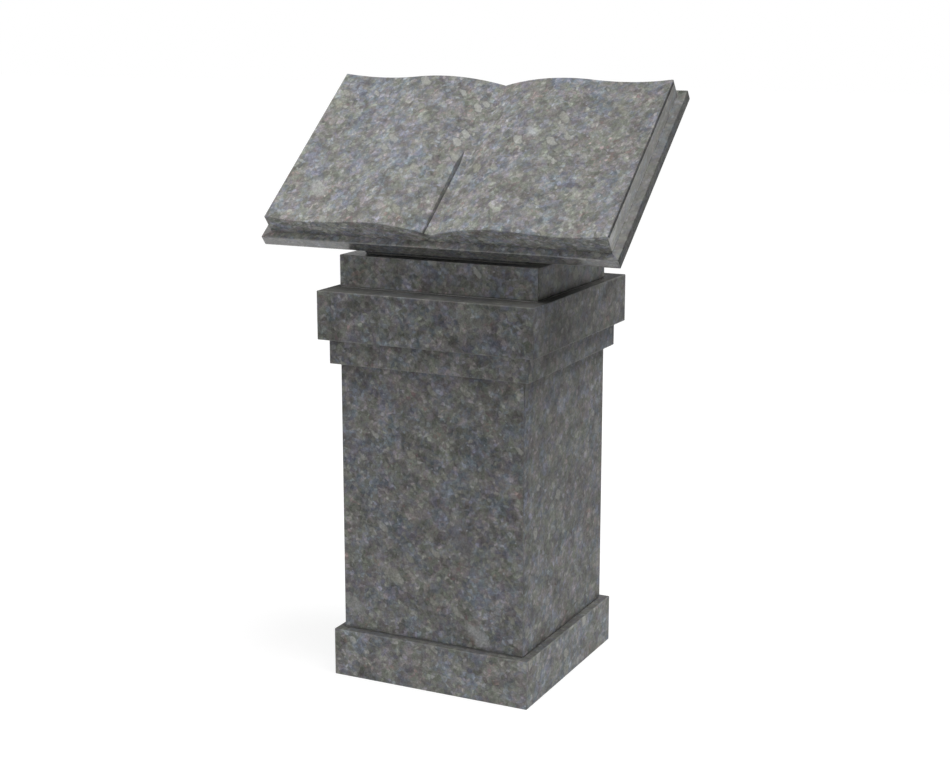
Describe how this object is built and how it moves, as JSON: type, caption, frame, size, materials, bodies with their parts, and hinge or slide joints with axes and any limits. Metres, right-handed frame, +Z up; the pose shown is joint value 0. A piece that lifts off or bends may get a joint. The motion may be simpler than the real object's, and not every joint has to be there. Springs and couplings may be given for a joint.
{
  "type": "cremation pedestal memorial",
  "caption": "Polished grey granite memorial: an open stone book on a sloped rest, carried by a square pedestal of plinth, shaft, collar, cap and neck.",
  "frame": {"origin": "middle of the plinth's underside, on the ground", "axes": "+Z up, the reader stands on the -Y side, +X to the reader's right"},
  "size_m": [0.584, 0.356, 0.9193],
  "materials": {
    "granite": "polished",
    "setting_compound": "matte"
  },
  "bodies": {
    "root": {"plinth": "granite", "shaft_bed": "setting_compound", "shaft": "granite", "collar_bed": "setting_compound", "collar": "granite", "cap_bed": "setting_compound", "cap": "granite", "neck_bed": "setting_compound", "neck": "granite", "rest_bed": "setting_compound", "book_rest": "granite", "book_bed": "setting_compound", "cover_board": "granite", "page_block": "granite"}
  },
  "joints": []
}
